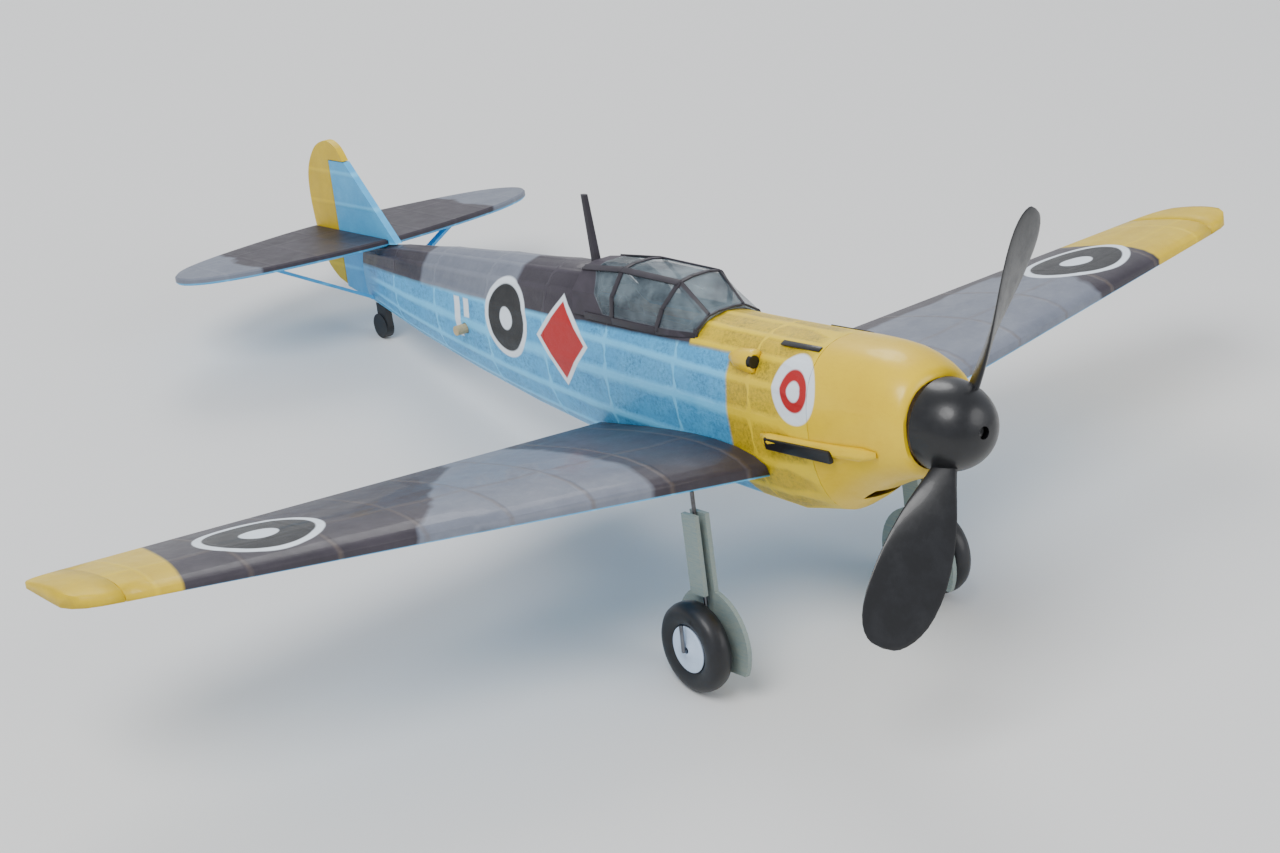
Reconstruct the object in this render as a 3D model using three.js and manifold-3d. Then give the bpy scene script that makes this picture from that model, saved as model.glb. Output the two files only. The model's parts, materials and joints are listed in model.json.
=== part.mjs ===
// Rubber-powered flying scale model of a low-wing fighter, stick-and-tissue construction.
// Millimetres. The aircraft is drawn in its own level frame (X forward, Y to port, Z up, origin on
// the thrust line at the back of the spinner), then set down on its three wheels on the plane Z = 0.
import * as THREE from "three";
import { mergeVertices } from "three/addons/utils/BufferGeometryUtils.js";
import Module from "manifold-3d";

const wasm = await Module();
wasm.setup();

// ---- Driving dimensions ----
const SPAN_HALF = 206.5;
const GROUND_ANGLE = THREE.MathUtils.degToRad(14.49);
const GAP = 0.3; // clearance between glued neighbours
const SKIN = 0.6; // covering wall
const COWL_JOINT_X = -34; // where the moulded cowl meets the covered frame
const TAIL_END_X = -284;
const STICK = 1.9; // square stringer section
const FORMER_X = [-37.5, -88, -145.5, -182, -216, -250];
const FORMER_THICK = 1.5;
const STRINGER_ANGLES = {
  top: 90, bottom: 270, left_upper: 32, right_upper: 148, left_lower: 322, right_lower: 218,
};
const COCKPIT = { x0: -139, x1: -92, half: 9.5, floor: 12 };
const WING = { leRoot: -52.2, leTip: -80.7, teRoot: -139, teTip: -116.5, zRoot: -20.7, zTip: -2.7 };
const WING_THICK = { root: 8.6, tip: 4.2, skin: 0.5 };
const TIP_BLOCK_Y = 193;
const RIB_Y = [52, 98, 145];
const SPAR_SHARE = 0.36; // spar position as a share of the chord
const TAIL = { z: 18.7, thick: 2.4, hingeX: -300, capZ: 44 };
const PEG = { x: -208.7, z: -0.5, r: 1.6, half: 15.2 };
const SHAFT_R = 0.6;
const PROP = { x: 5.9, angle: 33.5, hubR: 3.4, pitch: 150 };
const SPINNER = { r: 12.3, len: 15, wall: 1 };
const WHEEL = { x: -58.5, y: 44.2, z: -61.1 };
const LEG = { y: 39.4, topZ: -18, wireR: 0.6 };
const COVER = { radius: 15, cutZ: -69 };
const TAIL_WHEEL = { x: -281.4, z: -12.34, r: 4.3, wide: 3 };

// Fuselage stations: x, top, bottom, half width, height of the widest point.
const STATIONS = [
  [-1, 12.9, -12.9, 12.9, 0], [-3, 14.7, -14.1, 14, 0], [-6, 16.3, -15.2, 14.9, 0],
  [-10, 17.7, -16.6, 15.7, -0.2],
  [-14, 18.6, -18.2, 16.2, -0.5], [-19, 19, -20.5, 16.6, -0.8], [-24, 19.1, -23.3, 16.9, -1.1],
  [-29, 19.1, -26.6, 17.1, -1.5], [-34, 19, -29.4, 17.2, -2],
  [-50, 18.7, -32.6, 17.2, -3], [-74, 18.5, -31.8, 16.8, -3],
  [-88, 18.6, -31.2, 16.5, -2.5], [-115, 20, -30, 16, -2], [-140, 20, -27.9, 15.3, -1.5],
  [-147, 25.8, -27.2, 14.9, -1], [-180, 24, -23, 13.5, 0], [-215, 22, -17.5, 11.3, 2],
  [-250, 19.5, -11, 8, 4], [TAIL_END_X, 16, -3.8, 3, 6],
];

// ---- Solids from rings, and joins and cuts ----
function signedVolume(points, index) {
  const corner = (i) => new THREE.Vector3().fromArray(points, index[i] * 3);
  let total = 0;
  for (let i = 0; i < index.length; i += 3) total += corner(i).dot(corner(i + 1).cross(corner(i + 2)));
  return total / 6;
}

// A solid from any closed surface, turned to face outwards.
function toSolid(geometry) {
  const bare = geometry.clone();
  bare.deleteAttribute("normal");
  bare.deleteAttribute("uv");
  const merged = mergeVertices(bare, 1e-3);
  const points = new Float32Array(merged.attributes.position.array);
  const index = new Uint32Array(merged.index.array);
  if (signedVolume(points, index) < 0) {
    for (let i = 0; i < index.length; i += 3) [index[i], index[i + 1]] = [index[i + 1], index[i]];
  }
  return new wasm.Manifold(new wasm.Mesh({ numProp: 3, vertProperties: points, triVerts: index }));
}

// The main body left after a trimming cut, without loose slivers.
function largest(solid) {
  return solid.decompose().sort((a, b) => b.volume() - a.volume())[0];
}

function toGeometry(solid) {
  const mesh = solid.getMesh();
  const points = new Float32Array(mesh.numVert * 3);
  for (let i = 0; i < mesh.numVert; i++) {
    points.set(mesh.vertProperties.subarray(i * mesh.numProp, i * mesh.numProp + 3), i * 3);
  }
  const geometry = new THREE.BufferGeometry();
  geometry.setAttribute("position", new THREE.BufferAttribute(points, 3));
  geometry.setIndex(new THREE.BufferAttribute(new Uint32Array(mesh.triVerts), 1));
  return geometry;
}

// A closed loft through rings of equal length; each end is closed by a fan from its middle.
function loft(rings) {
  const n = rings[0].length;
  const points = rings.flat();
  const index = [];
  for (let i = 0; i < rings.length - 1; i++) {
    for (let j = 0; j < n; j++) {
      const a = i * n + j;
      const b = i * n + ((j + 1) % n);
      index.push(a, b, a + n, b, b + n, a + n);
    }
  }
  for (const [start, flip] of [[0, true], [(rings.length - 1) * n, false]]) {
    const middle = new THREE.Vector3();
    for (let j = 0; j < n; j++) middle.add(points[start + j]);
    points.push(middle.divideScalar(n));
    for (let j = 0; j < n; j++) {
      const pair = [start + j, start + ((j + 1) % n)];
      if (flip) pair.reverse();
      index.push(points.length - 1, ...pair);
    }
  }
  const geometry = new THREE.BufferGeometry().setFromPoints(points);
  geometry.setIndex(index);
  return toSolid(geometry);
}

function box(x0, x1, y0, y1, z0, z1) {
  const geometry = new THREE.BoxGeometry(x1 - x0, y1 - y0, z1 - z0);
  geometry.translate((x0 + x1) / 2, (y0 + y1) / 2, (z0 + z1) / 2);
  return toSolid(geometry);
}

// A round rod between two points.
function rod(from, to, radius, sides = 12) {
  const a = new THREE.Vector3(...from);
  const b = new THREE.Vector3(...to);
  const geometry = new THREE.CylinderGeometry(radius, radius, a.distanceTo(b), sides);
  const turn = new THREE.Quaternion().setFromUnitVectors(
    new THREE.Vector3(0, 1, 0), b.clone().sub(a).normalize());
  geometry.applyQuaternion(turn);
  geometry.translate(...a.add(b).divideScalar(2).toArray());
  return toSolid(geometry);
}

// A bent wire: rods joined by balls at the bends.
function wire(points, radius) {
  let solid = null;
  points.slice(1).forEach((point, i) => {
    const piece = rod(points[i], point, radius, 8);
    solid = solid ? solid.add(piece) : piece;
    if (i === points.length - 2) return;
    const ball = new THREE.SphereGeometry(radius, 8, 6);
    ball.translate(...point);
    solid = solid.add(toSolid(ball));
  });
  return solid;
}

// A lathe about the X axis from (x, radius) pairs that start and end on the axis.
function turned(profile, sides = 32) {
  const geometry = new THREE.LatheGeometry(profile.map(([x, r]) => new THREE.Vector2(r, x)), sides);
  geometry.rotateZ(-Math.PI / 2);
  return toSolid(geometry);
}

// A sheet part standing in the XZ plane on the centre line, from (x, z) corners.
function sheetXZ(corners, thick) {
  const shape = new THREE.Shape(corners.map(([x, z]) => new THREE.Vector2(x, z)));
  const geometry = new THREE.ExtrudeGeometry(shape, { depth: thick, bevelEnabled: false });
  geometry.rotateX(Math.PI / 2);
  geometry.translate(0, thick / 2, 0);
  return toSolid(geometry);
}

// Points along the smooth curve that passes through a few corners.
function rounded(corners, count) {
  const curve = new THREE.SplineCurve(corners.map(([x, y]) => new THREE.Vector2(x, y)));
  return curve.getPoints(count).map((point) => [point.x, point.y]);
}

// ---- Fuselage form ----
function station(x) {
  const last = STATIONS.length - 1;
  if (x >= STATIONS[0][0]) return STATIONS[0].slice(1);
  if (x <= STATIONS[last][0]) return STATIONS[last].slice(1);
  const i = STATIONS.findIndex((s) => s[0] <= x);
  const [a, b] = [STATIONS[i - 1], STATIONS[i]];
  const t = (a[0] - x) / (a[0] - b[0]);
  return a.slice(1).map((v, k) => v + (b[k + 1] - v) * t);
}

function skinPoint(x, degrees, inset) {
  const [top, bottom, half, wide] = station(x);
  const angle = THREE.MathUtils.degToRad(degrees);
  const c = Math.cos(angle);
  const s = Math.sin(angle);
  const power = 0.86; // slightly squarer than an ellipse
  const height = s > 0 ? top - wide : wide - bottom;
  const y = Math.sign(c) * Math.abs(c) ** power * Math.max(half - inset, 0.3);
  const z = wide + Math.sign(s) * Math.abs(s) ** power * Math.max(height - inset, 0.3);
  return new THREE.Vector3(x, y, z);
}

function skinRing(x, inset, sides = 32) {
  return Array.from({ length: sides }, (_, j) => skinPoint(x, (j * 360) / sides, inset));
}

function body(x0, x1, inset, sides = 32) {
  const between = STATIONS.map((s) => s[0]).filter((x) => x < x0 && x > x1);
  return loft([x0, ...between, x1].map((x) => skinRing(x, inset, sides)));
}

// A square stick that follows the inside of the covering at one angle.
function stringer(degrees, size, x0 = COWL_JOINT_X - 2, x1 = TAIL_END_X + 14) {
  const depth = SKIN + GAP + STICK / 2 + 0.3;
  const h = size / 2;
  const between = STATIONS.map((s) => s[0]).filter((x) => x < x0 - 2 && x > x1 + 2);
  return loft([x0, ...between, x1].map((x) => {
    const p = skinPoint(x, degrees, depth);
    return [[-h, -h], [h, -h], [h, h], [-h, h]].map(([y, z]) => new THREE.Vector3(x, p.y + y, p.z + z));
  }));
}

const cockpitWell = (grow) => box(
  COCKPIT.x0 - grow, COCKPIT.x1 + grow,
  -COCKPIT.half - grow, COCKPIT.half + grow,
  COCKPIT.floor - grow, 40);
const grownBody = body(-1.001, TAIL_END_X - GAP, -GAP);

function fuselageCovering() {
  const outer = body(COWL_JOINT_X - GAP, TAIL_END_X, 0);
  const hollow = body(COWL_JOINT_X + 1, TAIL_END_X + 1, SKIN);
  const pegHole = rod([PEG.x, -30, PEG.z], [PEG.x, 30, PEG.z], PEG.r + GAP, 16);
  return outer.subtract(hollow).subtract(cockpitWell(0)).subtract(pegHole);
}

function former(x) {
  const x1 = x - FORMER_THICK;
  const margin = SKIN + GAP + 0.1;
  const rim = 4.6;
  let plate = loft([skinRing(x, margin, 32), skinRing(x1, margin, 32)]);
  if (station(x)[2] > rim + 3) {
    plate = plate.subtract(loft([skinRing(x + 1, rim, 20), skinRing(x1 - 1, rim, 20)]));
  }
  for (const degrees of Object.values(STRINGER_ANGLES)) {
    plate = plate.subtract(stringer(degrees, STICK + 2 * GAP));
  }
  return largest(plate.subtract(cockpitWell(GAP)));
}

// ---- Nose ----
function cowl() {
  const hollow = body(0, COWL_JOINT_X - 1, 1);
  const mouth = box(-33, -16, -7, 7, -23.6, -20.4);
  return body(-1, COWL_JOINT_X, 0, 64).subtract(hollow).subtract(mouth);
}

const shaftBore = () => rod([-20, 0, 0], [20, 0, 0], SHAFT_R + 0.25, 12);
const noseBlock = () => turned([[-12.2, 0], [-12.2, 11], [-2.6, 11], [-2.6, 0]], 24)
  .subtract(rod([-20, 0, 0], [5, 0, 0], 2.4, 16));
const noseButton = () => turned([[-13, 0], [-13, 2.1], [-2.2, 2.1], [-2.2, 5.4], [-1.4, 5.4], [-1.4, 0]], 20)
  .subtract(shaftBore());
const washer = () => turned([[-1.1, 0], [-1.1, 2.6], [-0.4, 2.6], [-0.4, 0]], 16).subtract(shaftBore());

// ---- Propeller ----
function blade() {
  const rows = [ // radius, chord, thickness, how far the section sits towards the leading edge
    [1, 4.6, 3, 0], [9, 5.2, 2.9, 0], [14, 8, 2.4, 0], [22, 13.4, 2, 0.4], [32, 17.6, 1.6, 0.8],
    [40, 19, 1.4, 1], [48, 17.8, 1.2, 0.8], [54, 14.6, 1.1, 0.4], [58, 9.6, 1, 0], [59.9, 4.4, 0.9, 0],
  ];
  return loft(rows.map(([r, chord, thick, lead]) => {
    const beta = Math.min(Math.atan(PROP.pitch / (2 * Math.PI * r)), THREE.MathUtils.degToRad(66));
    return Array.from({ length: 14 }, (_, j) => {
      const a = (j * 2 * Math.PI) / 14;
      const u = (Math.cos(a) * chord) / 2 + lead;
      const v = (Math.sin(a) * thick) / 2;
      return new THREE.Vector3(PROP.x + u * Math.sin(beta) + v * Math.cos(beta),
        -u * Math.cos(beta) + v * Math.sin(beta), r);
    });
  }));
}

function propeller() {
  const hub = turned([[1.6, 0], [1.6, PROP.hubR], [10.6, PROP.hubR], [10.6, 0]], 20);
  return hub.add(blade()).add(blade().rotate([180, 0, 0])).subtract(shaftBore());
}

function dome(radius, front, back) {
  const steps = 9;
  const profile = [[back, 0]];
  for (let i = 0; i < steps; i++) {
    const a = (i * Math.PI) / 2 / steps;
    profile.push([back + (front - back) * Math.sin(a), radius * Math.cos(a) ** 0.82]);
  }
  profile.push([front, 0]);
  return turned(profile, 36);
}

function spinner() {
  const hollow = dome(SPINNER.r - SPINNER.wall, SPINNER.len - 1.4, -0.6);
  const shell = dome(SPINNER.r, SPINNER.len, 0.3).subtract(hollow);
  const slot = box(PROP.x - 3.4, PROP.x + 3.4, -3.2, 3.2, -20, 20);
  return largest(shell.subtract(slot).subtract(rod([5, 0, 0], [20, 0, 0], 1.9, 16)));
}

const propShaft = () => wire([[13, 0, 0], [-20, 0, 0], [-22, 0, 3.4], [-26, 0, 3.4], [-28.4, 0, 0],
  [-26, 0, -3.4], [-22.6, 0, -3.4]], SHAFT_R);

// ---- Rubber motor: one half of a flat band, looped round the hook or round the peg ----
function motorLoop(closedX, openX) {
  const [half, inner, wide] = [3.1, 1.9, 1.5];
  const sign = Math.sign(openX - closedX);
  const span = (reach) => [Math.min(closedX, openX + sign * reach), Math.max(closedX, openX + sign * reach)];
  const round = rod([closedX, -wide, 0], [closedX, wide, 0], half, 20);
  const strips = box(...span(0), -wide, wide, -half, half);
  const hole = rod([closedX, -3, 0], [closedX, 3, 0], inner, 20).add(box(...span(3), -3, 3, -inner, inner));
  return round.add(strips).subtract(hole);
}

// ---- Wing ----
function chordAt(y) {
  const along = Math.abs(y) / 195;
  const out = Math.abs(y) / SPAN_HALF;
  return {
    le: WING.leRoot + (WING.leTip - WING.leRoot) * along,
    te: WING.teRoot + (WING.teTip - WING.teRoot) * along,
    z: WING.zRoot + (WING.zTip - WING.zRoot) * out,
    thick: WING_THICK.root + (WING_THICK.tip - WING_THICK.root) * out,
  };
}

// A flat-bottomed wing section between two shares of the chord, drawn `inset` inside the surface.
function section(y, inset = 0, first = 0.01, last = 1) {
  const c = chordAt(y);
  const height = c.thick * 0.8;
  const edge = (s) => 0.06 * (1 - s) + 0.03;
  const upper = (s) => (2.6 * Math.sqrt(s) * (1 - s) * (1 - 0.25 * s) + edge(s)) * height - inset;
  const lower = (s) => -(0.42 * Math.sqrt(s) * (1 - s) ** 1.5 + edge(s)) * height + inset;
  const shares = [0, 0.05, 0.14, 0.26, 0.38, 0.52, 0.66, 0.8, 0.92, 1]
    .map((t) => first + (last - first) * t);
  const at = (s, z) => new THREE.Vector3(c.le + (c.te - c.le) * s, y, c.z + z);
  return [...shares.map((s) => at(s, upper(s))), ...shares.reverse().map((s) => at(s, lower(s)))];
}

function wingCovering(side) {
  const outer = loft([5, 100, TIP_BLOCK_Y].map((y) => section(side * y)));
  const hollow = loft([2, 100, TIP_BLOCK_Y - 1].map((y) => section(side * y, WING_THICK.skin, 0.05, 0.78)));
  const middle = box(-200, 0, -12.5, 12.5, -60, 10);
  return largest(outer.subtract(hollow).subtract(grownBody).subtract(middle));
}

function tipBlock(side) {
  const rows = [[TIP_BLOCK_Y + GAP, 0], [199, 0.01], [202.5, 0.04], [205, 0.1], [206.5, 0.19]];
  return loft(rows.map(([y, trim]) => section(side * y, 0, 0.01 + trim, 1 - trim)));
}

const sparX = (c) => c.le + (c.te - c.le) * SPAR_SHARE;

function spar(side) {
  return loft([18.2, TIP_BLOCK_Y - 3].map((y) => {
    const c = chordAt(y);
    const top = c.thick * 0.756 - 0.95;
    return [[-0.8, 1], [0.8, 1], [0.8, top], [-0.8, top]]
      .map(([dx, z]) => new THREE.Vector3(sparX(c) + dx, side * y, c.z + z));
  }));
}

function rib(side, y) {
  const c = chordAt(y);
  const [y0, y1] = [side * (y - 4), side * (y + 4)].sort((a, b) => a - b);
  const slot = box(sparX(c) - 1.3, sparX(c) + 1.3, y0, y1, c.z + 0.65, c.z + 20);
  const margin = WING_THICK.skin + GAP;
  return loft([y - 0.6, y + 0.6].map((v) => section(side * v, margin, 0.08, 0.74))).subtract(slot);
}

// ---- Tail ----
function stabiliser(side) {
  const outline = rounded([[-267, 1.5], [-268.5, 20], [-273, 45], [-278.5, 59], [-284, 66],
    [-290, 68.5], [-296, 66.5], [-302, 60], [-307, 48], [-311, 32], [-314, 16], [-315, 6],
    [-315, 1.5]], 44);
  const shape = new THREE.Shape(outline.map(([x, y]) => new THREE.Vector2(x, side * y)));
  const bevel = 0.5;
  const geometry = new THREE.ExtrudeGeometry(shape, {
    depth: TAIL.thick - 2 * bevel,
    bevelThickness: bevel,
    bevelSize: bevel,
    bevelOffset: -bevel,
    bevelSegments: 1,
  });
  geometry.translate(0, 0, TAIL.z - TAIL.thick / 2 + bevel);
  return toSolid(geometry).subtract(grownBody);
}

const fin = () => largest(sheetXZ([[-260.9, 17], [-289.5, TAIL.capZ], [TAIL.hingeX + 0.15, TAIL.capZ],
  [TAIL.hingeX + 0.15, -0.4], [TAIL_END_X - 0.6, -3.4], [TAIL_END_X - 0.6, 14], [-262, 14]], TAIL.thick)
  .subtract(grownBody));

const rudder = () => sheetXZ([
  ...rounded([[-290.2, TAIL.capZ + GAP], [-294.2, 49], [-300, 50.9], [-307, 48.9], [-312, 44.6],
    [-315.4, 39], [-316.6, 32], [-316.2, 24], [-314.4, 14], [-310.6, 6.4], [-305, 2]], 44),
  [TAIL.hingeX - 0.15, 0.4], [TAIL.hingeX - 0.15, TAIL.capZ + GAP],
], TAIL.thick);

function tailStrut(side) {
  const ends = [[-281, 3, -1.6], [-286, 37.5, 16.4]];
  return largest(loft(ends.map(([x, y, z]) => [[-1.5, -0.6], [1.5, -0.6], [1.5, 0.6], [-1.5, 0.6]]
    .map(([dx, dz]) => new THREE.Vector3(x + dx, side * y, z + dz)))).subtract(grownBody));
}

// ---- Cockpit and fittings ----
function canopy() {
  const rows = [ // x, then half widths and heights from the sill up to the roof
    [-85.6, [11.6, 13.4], [11.2, 16], [6.4, 18.6], [3, 19.1]],
    [-96.5, [13.4, 13.4], [12.4, 20.4], [7.4, 27.2], [3, 28.1]],
    [-120, [13.4, 13.4], [12.4, 20.8], [7.4, 27.8], [3, 28.7]],
    [-144, [13.1, 13.6], [12.2, 20.4], [7.2, 26.2], [3, 27.2]],
  ];
  const shell = (inset) => loft(rows.map(([x, ...levels], i) => {
    const lean = i === 0 ? -2.4 * inset : 0;
    const half = levels.map(([y, z], k) => new THREE.Vector3(
      x + lean + (i === 3 ? inset : 0), y - inset, z - (k ? inset : 2 * inset)));
    return [...half, ...half.slice().reverse().map((p) => new THREE.Vector3(p.x, -p.y, p.z))];
  }));
  return largest(shell(0).subtract(shell(0.7)).subtract(grownBody));
}

const antenna = () => largest(loft([[25, -146, 2.1], [46, -148, 1.5]].map(([z, x, half]) => Array.from(
  { length: 12 }, (_, j) => {
    const a = (j * Math.PI) / 6;
    return new THREE.Vector3(x - 1.2 + Math.cos(a) * half, (Math.sin(a) * half) / 1.9, z);
  }))).subtract(grownBody));

// Each row: x, how far it stands out, half its height, degrees below the widest point.
function exhaust(side) {
  const rows = [[-9.5, 0.6, 1, 14], [-14, 2, 2, 12.7], [-50, 2, 2.2, 6.2], [-54, 1, 1.6, 6]];
  return largest(loft(rows.map(([x, out, tall, down]) => {
    const p = skinPoint(x, side > 0 ? 360 - down : 180 + down, 0);
    return [[-0.8, -tall], [out * 0.7, -tall * 0.8], [out, 0], [out * 0.7, tall * 0.8], [-0.8, tall]]
      .map(([dy, dz]) => new THREE.Vector3(x, p.y + side * dy, p.z - 1 + dz));
  })).subtract(grownBody));
}

function intakeScoop() {
  const p = skinPoint(-60.6, 141, 0);
  const rows = [[-56.5, 3.1], [-58.5, 3.5], [-64, 3], [-68, 1.2]];
  const hood = loft(rows.map(([x, r]) => Array.from({ length: 14 }, (_, j) => {
    const a = (j * Math.PI) / 7;
    return new THREE.Vector3(x, p.y + Math.cos(a) * r, p.z + Math.sin(a) * r);
  })));
  const mouth = rod([-50, p.y - 1.2, p.z + 0.8], [-61, p.y - 1.2, p.z + 0.8], 1.4, 12);
  return largest(hood.subtract(grownBody).subtract(mouth));
}

// ---- Undercarriage ----
function gearWire(side) {
  const outer = WHEEL.y + 4.4;
  return largest(wire([[WHEEL.x, side * LEG.y, LEG.topZ], [WHEEL.x, side * LEG.y, WHEEL.z],
    [WHEEL.x, side * outer, WHEEL.z], [WHEEL.x + 0.8, side * (outer + 0.4), WHEEL.z + 8]], LEG.wireR)
    .subtract(loft([5, 100].map((y) => section(side * y, -GAP)))));
}

function sideBox(side, x0, x1, y0, y1, z0, z1) {
  const [a, b] = [side * y0, side * y1].sort((p, q) => p - q);
  return box(x0, x1, a, b, z0, z1);
}

const legFairing = (side) => sideBox(side, WHEEL.x - 3, WHEEL.x + 3, LEG.y + 0.9, LEG.y + 2.3, -47, -24);

function wheelCover(side) {
  const [inner, outer] = [LEG.y - 2.4, LEG.y - 1];
  const disc = rod([WHEEL.x, side * inner, WHEEL.z], [WHEEL.x, side * outer, WHEEL.z], COVER.radius, 40);
  const strip = sideBox(side, WHEEL.x - 3.4, WHEEL.x + 3.4, inner, outer, WHEEL.z, -24);
  const below = sideBox(side, WHEEL.x - 20, WHEEL.x + 20, inner - 1, outer + 1, -90, COVER.cutZ);
  return disc.add(strip).subtract(below);
}

// Wheel parts are turned about X, then swung so that the outer face points away from the fuselage.
function wheelPart(side, profile) {
  return turned(profile, 36).subtract(rod([-9, 0, 0], [9, 0, 0], LEG.wireR + GAP, 14))
    .rotate([0, 0, side * 90]).translate([WHEEL.x, side * WHEEL.y, WHEEL.z]);
}

const tyre = (side) => wheelPart(side, [
  [-2.4, 0], [-2.4, 7.2], [-3.3, 8.6], [-3.5, 10.4], [-2.6, 12.2], [-1, 12.9],
  [1, 12.9], [2.6, 12.2], [3.5, 10.4], [3.3, 8.6], [2.4, 7.2], [2.4, 0],
]);
const wheelDisc = (side) => wheelPart(side, [[2.6, 0], [2.6, 6.6], [3.2, 6.6], [3.6, 5.6], [3.6, 0]]);

function tailWheel() {
  const { x, z, r, wide } = TAIL_WHEEL;
  const wheel = rod([x, -wide / 2, z], [x, wide / 2, z], r, 28);
  return largest(wheel.add(box(x - 1, x + 4.6, -1.2, 1.2, z, 0)).subtract(grownBody));
}

// ---- Assembly ----
// Colour and roughness of each kind of stock.
const COLOURS = {
  blue: [0x62b4e0, 0.7],
  yellow: [0xe3c20e, 0.45],
  tan: [0xc8a877, 0.8],
  black: [0x14161a, 0.45],
  dark: [0x3b3b42, 0.75],
  white: [0xb9d0ea, 0.5],
  steel: [0x9a9ca0, 0.35],
  glass: [0xa9b4bd, 0.1],
  motor: [0xb98d55, 0.8],
  grey: [0x7e8791, 0.75],
};

const aircraft = new THREE.Group();
function add(name, solid, colour) {
  const [color, roughness] = COLOURS[colour];
  const metalness = colour === "steel" ? 0.9 : 0;
  const material = new THREE.MeshStandardMaterial({ color, roughness, metalness });
  const mesh = new THREE.Mesh(toGeometry(solid), material);
  mesh.name = name;
  aircraft.add(mesh);
}

// A stick that the cockpit opening cuts in two becomes a front and a rear length.
function addStringer(name, degrees) {
  const lengths = stringer(degrees, STICK).subtract(cockpitWell(GAP)).decompose();
  lengths.sort((a, b) => b.boundingBox().max[0] - a.boundingBox().max[0]);
  const suffixes = lengths.length > 1 ? ["_front", "_rear"] : [""];
  lengths.forEach((length, i) => add(`${name}_stringer${suffixes[i]}`, length, "tan"));
}

add("fuselage_covering", fuselageCovering(), "blue");
FORMER_X.forEach((x, i) => add(`former_${i + 1}`, former(x), "tan"));
Object.entries(STRINGER_ANGLES).forEach(([name, degrees]) => addStringer(name, degrees));
add("cowling", cowl(), "yellow");
add("nose_block", noseBlock(), "tan");
add("nose_button", noseButton(), "black");
add("thrust_washer", washer(), "steel");
add("propeller", propeller().rotate([-PROP.angle, 0, 0]), "black");
add("spinner", spinner().rotate([-PROP.angle, 0, 0]), "black");
add("prop_shaft", propShaft().rotate([-PROP.angle, 0, 0]), "steel");
add("motor_front", motorLoop(-27.2, -115).rotate([90 - PROP.angle, 0, 0]), "motor");
add("motor_rear", motorLoop(PEG.x, -115.6).translate([0, 0, PEG.z]), "motor");
add("motor_peg", rod([PEG.x, -PEG.half, PEG.z], [PEG.x, PEG.half, PEG.z], PEG.r, 16), "tan");
for (const [label, side] of [["left", 1], ["right", -1]]) {
  add(`${label}_wing_covering`, wingCovering(side), "grey");
  add(`${label}_wing_tip`, tipBlock(side), "yellow");
  add(`${label}_wing_spar`, spar(side), "tan");
  RIB_Y.forEach((y, i) => add(`${label}_wing_rib_${i + 1}`, rib(side, y), "tan"));
  add(`${label}_exhaust`, exhaust(side), "yellow");
  add(`${label}_gear_wire`, gearWire(side), "steel");
  add(`${label}_gear_fairing`, legFairing(side), "grey");
  add(`${label}_gear_cover`, wheelCover(side), "grey");
  add(`${label}_tyre`, tyre(side), "black");
  add(`${label}_wheel_disc`, wheelDisc(side), "white");
  add(`${label}_stabiliser`, stabiliser(side), "dark");
  add(`${label}_stab_strut`, tailStrut(side), "blue");
}
add("fin", fin(), "blue");
add("rudder", rudder(), "yellow");
add("tail_wheel", tailWheel(), "black");
add("canopy", canopy(), "glass");
add("antenna_mast", antenna(), "dark");
add("intake_scoop", intakeScoop(), "yellow");

// Nose up on its wheels, lowest point at Z = 0, middle of the bounding box at X = 0.
aircraft.rotation.y = -GROUND_ANGLE;
const part = new THREE.Group();
part.add(aircraft);
part.updateMatrixWorld(true);
const bounds = new THREE.Box3().setFromObject(part, true);
aircraft.position.set(-(bounds.min.x + bounds.max.x) / 2, -(bounds.min.y + bounds.max.y) / 2, -bounds.min.z);

export default part;
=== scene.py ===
# %% [markdown]
# A rubber-powered stick-and-tissue aeroplane, dressed for display.
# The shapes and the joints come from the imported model. This lesson adds the finishes (dyed tissue,
# moulded plastic, balsa, wire) and the small fittings that are too fine for the working model.

import json
import math

import bmesh
import bpy
from mathutils import Matrix, Vector


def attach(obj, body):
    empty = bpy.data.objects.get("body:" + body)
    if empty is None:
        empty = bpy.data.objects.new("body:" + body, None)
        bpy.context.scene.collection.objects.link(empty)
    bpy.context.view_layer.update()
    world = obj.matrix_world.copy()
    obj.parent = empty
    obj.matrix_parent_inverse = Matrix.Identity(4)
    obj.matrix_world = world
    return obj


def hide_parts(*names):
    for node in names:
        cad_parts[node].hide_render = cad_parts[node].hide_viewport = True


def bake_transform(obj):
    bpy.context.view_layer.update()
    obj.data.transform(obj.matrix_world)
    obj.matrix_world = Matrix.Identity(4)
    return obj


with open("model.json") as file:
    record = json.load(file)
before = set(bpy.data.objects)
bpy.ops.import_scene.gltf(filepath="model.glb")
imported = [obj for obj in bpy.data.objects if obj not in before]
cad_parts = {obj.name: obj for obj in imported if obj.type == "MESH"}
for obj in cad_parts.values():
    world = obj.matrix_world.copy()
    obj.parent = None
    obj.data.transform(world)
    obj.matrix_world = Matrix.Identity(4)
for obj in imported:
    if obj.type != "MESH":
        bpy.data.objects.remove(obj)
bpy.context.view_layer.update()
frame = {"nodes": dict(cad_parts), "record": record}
nodes = frame["nodes"]

# %% [markdown]
# The aeroplane sits tail-down, so nothing on it is square to the ground. Its fittings could be placed
# in the standing frame, but every number would then carry the tilt. Builders work from a level
# drawing, and so does this lesson: the propeller's axis gives the tilt and the origin, and every
# fitting and paint border below is written in level millimetres (X forward, Y to port, Z up).

# %% The level drawing frame
prop_joint = next(j for j in frame["record"]["behaviour"]["joints"] if j["name"] == "prop_spin")
NOSE = Vector(prop_joint["pos_m"])
TILT = math.atan2(prop_joint["axis"][2], prop_joint["axis"][0])
STANCE = Matrix.Translation(NOSE) @ Matrix.Rotation(-TILT, 4, "Y") @ Matrix.Scale(0.001, 4)
print("stands nose-up by", round(math.degrees(TILT), 2), "degrees")

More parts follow.
